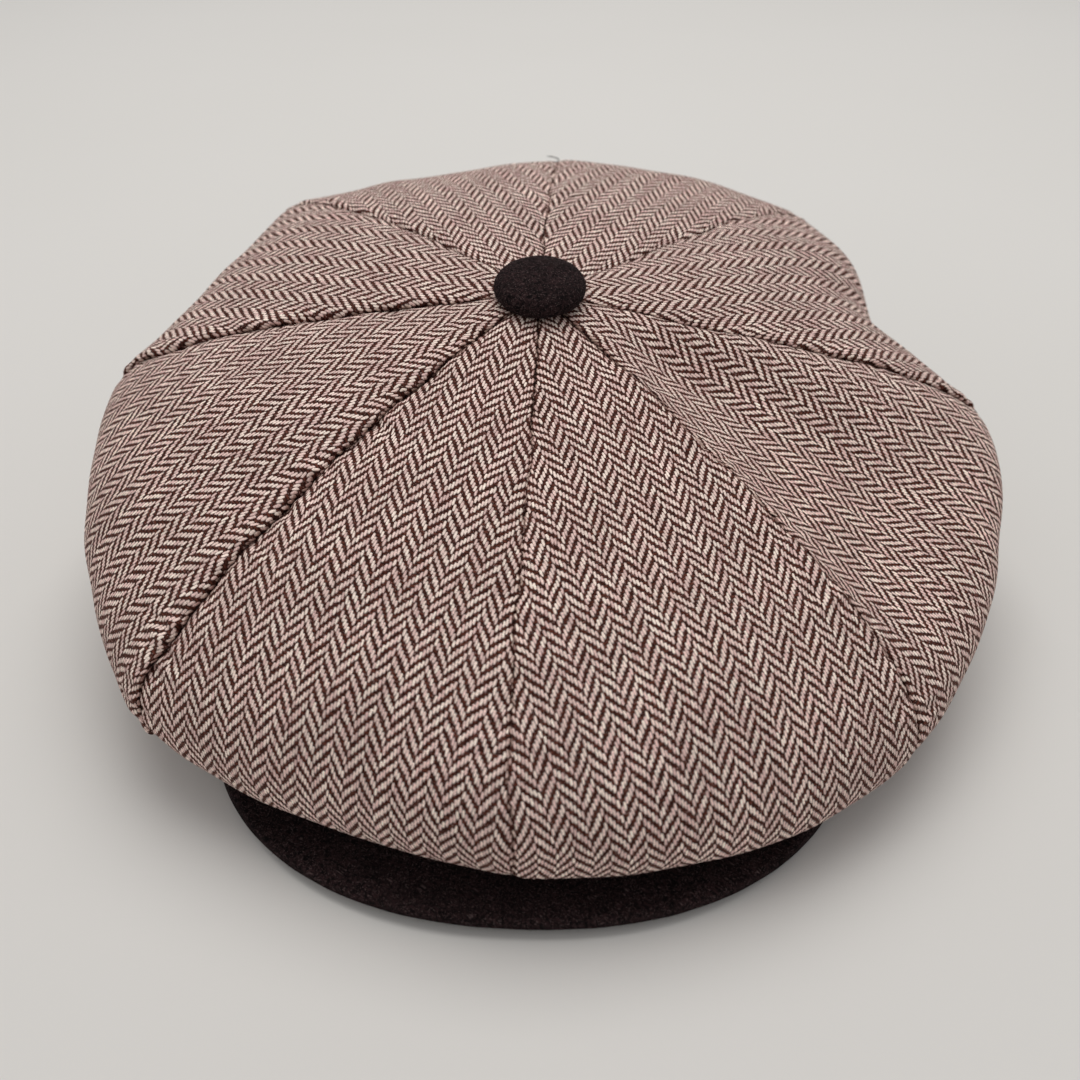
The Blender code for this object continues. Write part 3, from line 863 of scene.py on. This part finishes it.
def build_lining_label(meshes, material, thread):
    """Blank woven patch stitched to the lining behind the apex, across the back seam."""
    trees = []
    for mesh in meshes:
        corners = [vertex.co for vertex in mesh.vertices]
        trees.append(BVHTree.FromPolygons(corners, [face.vertices for face in mesh.polygons]))

    def under_lining(x, y):
        hits = [tree.ray_cast(Vector((x, y, 0.05)), Vector((0, 0, 1)))[0] for tree in trees]
        return min(hit.z for hit in hits if hit) - LABEL_DROP

    x = OPENING.x + LABEL_HALF_WIDTH * np.linspace(-1, 1, 41)
    y = LABEL_MIDDLE_Y + LABEL_HALF_LENGTH * np.linspace(-1, 1, 25)
    height = np.array([[under_lining(a, b) for b in y] for a in x])
    points = np.stack((*np.meshgrid(x, y, indexing="ij"), height), -1)
    weave = np.stack((points[..., 0], points[..., 1]), -1)
    mesh = sheet_mesh("blank_lining_label", points[::-1], weave[::-1])
    piece = add_piece("blank_lining_label", mesh, material, "cap", "label_cloth",
                      "lining_label")
    thicken(piece, 0.0005, 1.0)
    border = np.concatenate([points[2:-2, 2], points[-3, 2:-2], points[-3:1:-1, -3],
                             points[2, -3:1:-1]])
    border = border - np.array((0, 0, LABEL_STITCH_DROP))
    down = np.tile((0.0, 0.0, -1.0), (len(border), 1))
    stitch_row("lining_label_stitches", border, down, thread, "label_cloth")


def build_thread_tail(thread):
    """The short end of thread left standing where the back seam starts down."""
    turn = np.full(3, 4.0)
    station = np.array((TAIL_STATION - 0.02, TAIL_STATION, TAIL_STATION + 0.02))
    root = crown_point(turn, station, crown_curves, 3)[1]
    share = np.linspace(0, 1, 14)
    path = root + np.stack((-0.0035 * share + 0.0012 * np.sin(4 * share),
                            -0.002 * share,
                            0.0045 * share - 0.0015 * share**2 - 0.0008), -1)
    tube("thread_tail", path, 0.00022 * (1 - 0.3 * share), thread, "cap", "tweed")


# ---- button ----

FIBRE_FLOOR = 0.0002
BUTTON_LEAN = np.radians(8)
BUTTON_SNUG = 0.965
BUTTON_SINK = np.array((0.0, 0.0, -0.0004))
BUTTON_THICKNESS = 0.0008
BUTTON_FIBRES = 3600
# Share of the radius and height of the cover's outline, from its middle to under its rim.
BUTTON_OUTLINE = ((0.0, 0.0050), (0.30, 0.0049), (0.55, 0.0045), (0.76, 0.0038), (0.91, 0.0027),
                  (0.985, 0.0012), (0.99, -0.0002), (0.94, -0.0014), (0.84, -0.0021),
                  (0.70, -0.0022))


def build_button(wool):
    """Cloth-covered button: a soft flattened dome whose cloth is pulled under its rim."""
    centre = (BUTTON_LOW + BUTTON_HIGH) / 2
    radius = BUTTON_SNUG * (BUTTON_HIGH.x - BUTTON_LOW.x) / 2
    lean = Matrix.Rotation(BUTTON_LEAN, 3, "X")
    knots = np.array(BUTTON_OUTLINE)
    knots[:, 0] *= radius
    t = np.linspace(0, len(knots) - 1, 46)
    profile = np.stack([spline(knots[:, k], t) for k in range(2)], -1)
    angle = np.linspace(0, TAU, 97)[:-1]
    ring = 1 + 0.004 * wavy(angle / TAU * 3, 2) + 0.003 * wavy(angle / TAU * 7, 5)
    rows = []
    for a, stretch in zip(angle, ring):
        across = np.maximum(profile[:, 0], 0.00004) * stretch
        lump = 0.00012 * wavy(a / TAU * 5 + profile[:, 0] / 0.012, 3)
        rows.append(np.stack((across * np.cos(a), across * np.sin(a), profile[:, 1] + lump), -1))
    points = np.array(rows) @ np.array(lean).T + np.array(centre) + BUTTON_SINK
    mesh = sheet_mesh("wool_button", points[:, ::-1], closed=True)
    piece = add_piece("wool_button", mesh, wool, "button", "dark_wool", "button_cover")
    thicken(piece, BUTTON_THICKNESS)
    add_fibres("wool_button_fibres", points[:, 3:36], BUTTON_FIBRES, wool, "button")


def add_fibres(name, points, count, material, body, seed=7):
    """Short felt fibres rooted in a surface, each a closed three-sided spike."""
    random = np.random.default_rng(seed)
    normals = unit(np.cross(np.gradient(points, axis=0), np.gradient(points, axis=1)))
    rows = random.integers(0, points.shape[0], count)
    columns = random.integers(0, points.shape[1], count)
    root = points[rows, columns]
    out = normals[rows, columns]
    out = out * np.sign(np.sum(out * (root - points.mean((0, 1))), -1, keepdims=True))
    lean = unit(np.cross(out, random.normal(size=(count, 3))))
    long = random.uniform(0.0006, 0.0018, count)[:, None]
    tip = root + long * (random.uniform(0.15, 0.6, count)[:, None] * out + 0.8 * lean)
    tip[:, 2] = np.maximum(tip[:, 2], FIBRE_FLOOR)
    side = unit(np.cross(out, lean)) * 0.00004
    base = root - out * 0.0001
    corners = np.stack((base + side, base - side, base + lean * 0.00005, tip), 1)
    first = 4 * np.arange(count)[:, None]
    faces = np.concatenate([first + np.array(f) for f in ((0, 1, 3), (1, 2, 3), (2, 0, 3),
                                                          (2, 1, 0))])
    mesh = bpy.data.meshes.new(name)
    mesh.from_pydata(corners.reshape(-1, 3).tolist(), [], faces.tolist())
    return add_piece(name, mesh, material, body, "dark_wool")


def spline(values, t):
    """Open Catmull-Rom curve through values at whole numbers of t."""
    padded = np.concatenate([[2 * values[0] - values[1]], values, [2 * values[-1] - values[-2]]])
    index = np.clip(np.floor(t).astype(int), 0, len(values) - 2)
    f = t - index
    before, start, end, after = (padded[index + k] for k in range(4))
    return start + 0.5 * ((end - before) * f + (2 * before - 5 * start + 4 * end - after) * f**2
                          + (3 * start - before - 3 * end + after) * f**3)


# ---- peak ----

PEAK_TURN = np.radians(-2)
PEAK_CENTRE_FORWARD = 0.060
PEAK_HALF_WIDTH = 0.098
PEAK_LENGTH = 0.0885
PEAK_BACK_LENGTH = 0.032
PEAK_ROUNDNESS = 2.2
PEAK_ROOT_ANGLE = np.radians(65)
PEAK_ROOT_GAP = 0.0012
PEAK_MID_Z = 0.0046
PEAK_ARCH = 0.0020
PEAK_HALF_THICK = 0.0021
PEAK_STEPS = 181
HORN_START = 0.84
BOARD_THICKNESS = 0.0012
BOARD_INSET = 0.003
PEAK_FIBRES = 1600
PEAK_COVER_THICKNESS = 0.0007
PEAK_INNER_LIFT = 0.00015


def peak_edge(x, y, inset):
    """Outer edge of the peak in the direction (x, y) from its centre."""
    length = np.where(y < 0, PEAK_LENGTH, PEAK_BACK_LENGTH) - inset
    size = (np.abs(x) / (PEAK_HALF_WIDTH - inset)) ** PEAK_ROUNDNESS
    size = size + (np.abs(y) / length) ** PEAK_ROUNDNESS
    scale = size ** (-1 / PEAK_ROUNDNESS)
    return x * scale, y * scale - PEAK_CENTRE_FORWARD


def peak_sheet(share_out, lift, inset=0.0):
    """Points of a peak surface: share_out from band to edge, lift above its middle surface."""
    angle = PEAK_ROOT_ANGLE * np.linspace(-1, 1, PEAK_STEPS)
    root_x = (BAND_HALF_WIDTH + PEAK_ROOT_GAP + inset) * np.sin(angle)
    root_y = -(BAND_HALF_LENGTH + PEAK_ROOT_GAP + inset) * np.cos(angle)
    edge_x, edge_y = peak_edge(root_x, root_y + PEAK_CENTRE_FORWARD, inset)
    horn = np.clip((np.abs(angle) / PEAK_ROOT_ANGLE - HORN_START) / (1 - HORN_START), 0, 1)
    out = share_out * np.sqrt(np.clip(1 - horn**2, 0.001, 1))[:, None]
    x = root_x[:, None] + (edge_x - root_x)[:, None] * out
    y = root_y[:, None] + (edge_y - root_y)[:, None] * out
    z = PEAK_MID_Z - PEAK_ARCH * (x / PEAK_HALF_WIDTH) ** 2 + lift
    turn_x = x * np.cos(PEAK_TURN) - y * np.sin(PEAK_TURN)
    turn_y = x * np.sin(PEAK_TURN) + y * np.cos(PEAK_TURN)
    return np.stack((turn_x + OPENING.x, turn_y + OPENING.y, z), -1)


def bend_peak(piece):
    """Bake a piece's placement into its mesh."""
    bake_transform(piece)


def build_peak(wool, board, thread):
    """Upper and under covers, rounded together at the edge over the board."""
    curl = 1 - np.sin(np.linspace(0, np.pi / 2, 14)[1:])
    share = np.concatenate([np.linspace(0, 0.93, 40), 1 - 0.07 * curl])
    round_off = np.sqrt(np.clip(1 - ((share - 0.955) / 0.045).clip(0, 1) ** 2, 0.02, 1))
    wobble = 0.00012 * wavy(np.linspace(0, 22, PEAK_STEPS), 4)[:, None] * smooth(0.8, 0.97, share)
    for side, cover in ((1, "upper"), (-1, "under")):
        lift = side * (PEAK_INNER_LIFT + (PEAK_HALF_THICK - PEAK_INNER_LIFT) * round_off)
        points = peak_sheet(share, lift + wobble)
        rows = points if side > 0 else points[::-1]
        name = f"wool_peak_{cover}"
        piece = add_piece(name, sheet_mesh(name, rows), wool, None, "dark_wool",
                          f"peak_{cover}_cover")
        bend_peak(thicken(piece, PEAK_COVER_THICKNESS))
        fuzz = add_fibres(name + "_fibres", points[4:-4, 24:48], PEAK_FIBRES, wool,
                           None, 8 + side)
        bend_peak(fuzz)
        row = points[6:-6, 2]
        outward = np.tile((0.0, 0.0, float(side)), (len(row), 1))
        bend_peak(stitch_row(f"peak_{cover}_stitches", row, outward, thread, "dark_wool", None))
    sheet = peak_sheet(np.linspace(0, 1, 24), BOARD_THICKNESS / 2, BOARD_INSET)
    piece = add_piece("peak_board_sheet", sheet_mesh("peak_board_sheet", sheet), board, None,
                      "peak_board", "peak_board")
    bend_peak(thicken(piece, BOARD_THICKNESS))


# ---- band ----

# A seam distance far enough that no crease shade is painted.
NO_SEAM = 0.01
BACK_SEAM_DEPTH = 0.0006
BACK_SEAM_WIDTH = 0.0010
STITCH_IN = 0.0022
# The band's lower edge turned in under the stiffener: inset and height of each step.
HEM = ((0.0043, 0.00015), (0.0032, 0.00008), (0.0021, 0.00004), (0.0012, 0.00008),
       (0.0006, 0.00030), (0.0003, 0.00070))
CARE_LABEL_INSET = 0.0051
CARE_LABEL_ANGLE = np.radians(150)
CARE_LABEL_HALF_ANGLE = np.radians(6.5)


def oval(angle, inset, height):
    """Points on the band's oval, angle 0 at the front."""
    x = OPENING.x + (BAND_HALF_WIDTH - inset) * np.sin(angle)
    y = OPENING.y - (BAND_HALF_LENGTH - inset) * np.cos(angle)
    return np.stack(np.broadcast_arrays(x, y, height), -1)


def band_strip(name, inset, low, high, puff, material, slot, node, thickness,
               centre=0.0, half_angle=np.pi, steps=240, hem=()):
    """A soft strip round the oval; hem: extra (inset, height) steps turned in below it."""
    closed = half_angle >= np.pi
    angle = centre + np.linspace(-half_angle, half_angle, steps + 1)
    if closed:
        angle = angle[:-1]
    share = 0.5 - 0.5 * np.cos(np.linspace(0, np.pi, 22))
    bow = puff * (1 - (2 * share - 1) ** 6)
    seam_away = NO_SEAM
    if closed:
        # seam_away sets the tweed's painted crease shade along the back seam.
        from_back = (np.pi - np.abs(angle[:, None])) * BAND_RADIUS
        seam_away = np.maximum(from_back, 0.0002)
        bow = bow - BACK_SEAM_DEPTH * np.exp(-from_back / BACK_SEAM_WIDTH)
    ripple = 0.00015 * wavy(angle[:, None] / 0.35, 6) * np.sin(np.pi * share)
    insets = inset - bow + ripple + puff
    heights = low + (high - low) * share
    if hem:
        turned = np.array(hem)
        insets = np.concatenate([np.tile(turned[:, 0], (len(angle), 1)), insets], 1)
        heights = np.concatenate([turned[:, 1], heights])
    points = oval(angle[:, None], insets, heights)
    around = angle * BAND_RADIUS
    weave = np.stack(np.broadcast_arrays(around[:, None], arc(points, 1), seam_away), -1)
    mesh = sheet_mesh(name, points[:, ::-1], weave[:, ::-1], closed)
    return thicken(add_piece(name, mesh, material, "cap", slot, node), thickness)


def oval_row(angle, inset, height):
    """A path along the oval with its inward directions."""
    inward = -np.stack((np.sin(angle), -np.cos(angle), 0 * angle), -1)
    return oval(angle, inset, height), inward


def build_band(tweed, ribbed, label, thread):
    """Outer band, sweatband and care label; the stiffener and elastic stay as CAD nodes."""
    for node, material in (("band_stiffener", label), ("size_elastic", ribbed)):
        dress_cad(node, material)
    low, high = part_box("outer_band")
    band_strip("tweed_band", 0.0, low.z + HEM[-1][1] + 0.0005, high.z, 0.0003, tweed, "tweed",
               "outer_band", 0.0009, hem=HEM)
    low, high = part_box("sweatband")
    inset = BAND_HALF_WIDTH - (high.x - low.x) / 2
    band_strip("ribbed_sweatband", inset, low.z, high.z, 0.0003, ribbed, "sweatband_cloth",
               "sweatband", 0.0008)
    for number, height in enumerate((low.z + STITCH_IN, high.z - STITCH_IN)):
        path, inward = oval_row(np.linspace(-np.pi, np.pi, 481), inset + 0.0010, height)
        stitch_row(f"sweatband_stitches_{number + 1}", path, inward, thread, "sweatband_cloth")
    low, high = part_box("care_label")
    band_strip("blank_care_label", CARE_LABEL_INSET, low.z, high.z, 0.0001, label, "label_cloth",
               "care_label", 0.0003, CARE_LABEL_ANGLE, CARE_LABEL_HALF_ANGLE, 24)
    angle = CARE_LABEL_ANGLE + CARE_LABEL_HALF_ANGLE * np.linspace(-0.92, 0.92, 24)
    path, inward = oval_row(angle, CARE_LABEL_INSET + 0.0004, high.z - 0.0014)
    stitch_row("care_label_stitches", path, inward, thread, "label_cloth")


def dress_cad(node, material):
    """Give a carried-over CAD node a finished material."""
    part = frame["nodes"][node]
    part.data.materials.clear()
    part.data.materials.append(material)


# ---- stage ----

CAMERA_OFFSET = Vector((0.0, -0.3084, 0.1465))
CAMERA_PITCH = np.radians(38.5)
FOCUS_DISTANCE = 0.313
CAMERA_LENS = 36.0
CAMERA_FSTOP = 10.5
FLOOR_SIZE = 3.4
# Bottom of the peak's front edge, which the floor follows down.
PEAK_FRONT_MARK = (-0.003, -0.150, 0.0014)
ROOM_LIGHT = (0.97, 0.97, 0.98, 1.0)
ROOM_STRENGTH = 0.41
BACKDROP = (0.70, 0.69, 0.67, 1.0)
# Place, size, power and colour of each lamp.
WINDOW_LIGHT = ((0.05, 0.55, 1.75), 1.5, 20.5, (1.0, 0.985, 0.96))
FRONT_FILL = ((-0.9, -1.1, 1.4), 1.8, 2.8, (1.0, 0.93, 0.87))
LIGHTS_AIM = Vector((0, 0, 0.05))


def lower_floor_with_peak(floor):
    """The peak lies on the floor, so the floor gives way as the peak flexes down. It never rises."""
    mark = bpy.data.objects.new("peak_front_mark", None)
    bpy.context.scene.collection.objects.link(mark)
    mark.parent = frame["bodies"]["peak"]
    mark.location = PEAK_FRONT_MARK
    follow = floor.constraints.new("COPY_LOCATION")
    follow.target = mark
    follow.use_x = follow.use_y = False
    stop = floor.constraints.new("LIMIT_LOCATION")
    stop.use_max_z = True
    stop.max_z = 0.0


def build_stage():
    """Pale floor, soft light from above and behind, and the camera."""
    bpy.ops.mesh.primitive_plane_add(size=FLOOR_SIZE)
    floor = bpy.context.object
    floor.name = "floor"
    floor.data.materials.append(make_floor())
    lower_floor_with_peak(floor)

    world = bpy.data.worlds.new("soft_room")
    bpy.context.scene.world = world
    world.use_nodes = True
    tree = world.node_tree
    room = tree.nodes["Background"]
    room.inputs["Color"].default_value = ROOM_LIGHT
    room.inputs["Strength"].default_value = ROOM_STRENGTH
    backdrop = tree.nodes.new("ShaderNodeBackground")
    backdrop.inputs["Color"].default_value = BACKDROP
    paths, mix = (tree.nodes.new(kind) for kind in ("ShaderNodeLightPath", "ShaderNodeMixShader"))
    tree.links.new(paths.outputs["Is Camera Ray"], mix.inputs[0])
    tree.links.new(room.outputs[0], mix.inputs[1])
    tree.links.new(backdrop.outputs[0], mix.inputs[2])
    tree.links.new(mix.outputs[0], tree.nodes["World Output"].inputs["Surface"])

    add_light("window_light", *WINDOW_LIGHT)
    add_light("front_fill", *FRONT_FILL)

    camera_data = bpy.data.cameras.new("camera")
    camera_data.lens = CAMERA_LENS
    camera_data.sensor_width = 36.0
    camera = bpy.data.objects.new("camera", camera_data)
    bpy.context.scene.collection.objects.link(camera)
    camera.location = APEX + CAMERA_OFFSET
    camera_data.dof.use_dof = True
    camera_data.dof.focus_distance = FOCUS_DISTANCE
    camera_data.dof.aperture_fstop = CAMERA_FSTOP
    camera.rotation_euler = (np.pi / 2 - CAMERA_PITCH, 0, 0)
    bpy.context.scene.camera = camera
    bpy.context.scene.view_settings.view_transform = "Standard"


def add_light(name, place, size, energy, tone):
    """A soft square area light aimed at the cap."""
    data = bpy.data.lights.new(name, "AREA")
    data.size = size
    data.energy = energy
    data.color = tone
    light = bpy.data.objects.new(name, data)
    bpy.context.scene.collection.objects.link(light)
    light.location = place
    aim = LIGHTS_AIM - Vector(place)
    light.rotation_euler = aim.to_track_quat("-Z", "Y").to_euler()


def build_cap():
    """Every visible piece."""
    tweed = make_tweed()
    wool = make_wool("dark_wool", srgb(10, 6, 7), srgb(52, 36, 37))
    ribbed = make_ribbed("grosgrain", srgb(34, 26, 24), srgb(62, 50, 45), 0.0011, 0.00025)
    label = make_ribbed("woven_label", srgb(186, 176, 156), srgb(214, 206, 188), 0.0004, 0.00005)
    metal = make_metal()
    thread = make_thread("sewing_thread", srgb(40, 26, 24))
    build_crown(tweed)
    lining = build_lining(make_lining())
    build_lining_label((lining["back_left"], lining["back_right"]), label, thread)
    build_button(wool)
    build_thread_tail(thread)
    build_peak(wool, make_board(), thread)
    build_band(tweed, ribbed, label, thread)
    for node in ("button_shell", "button_back_plate", "button_shank", "button_washer"):
        dress_cad(node, metal)


build_cap()
build_stage()
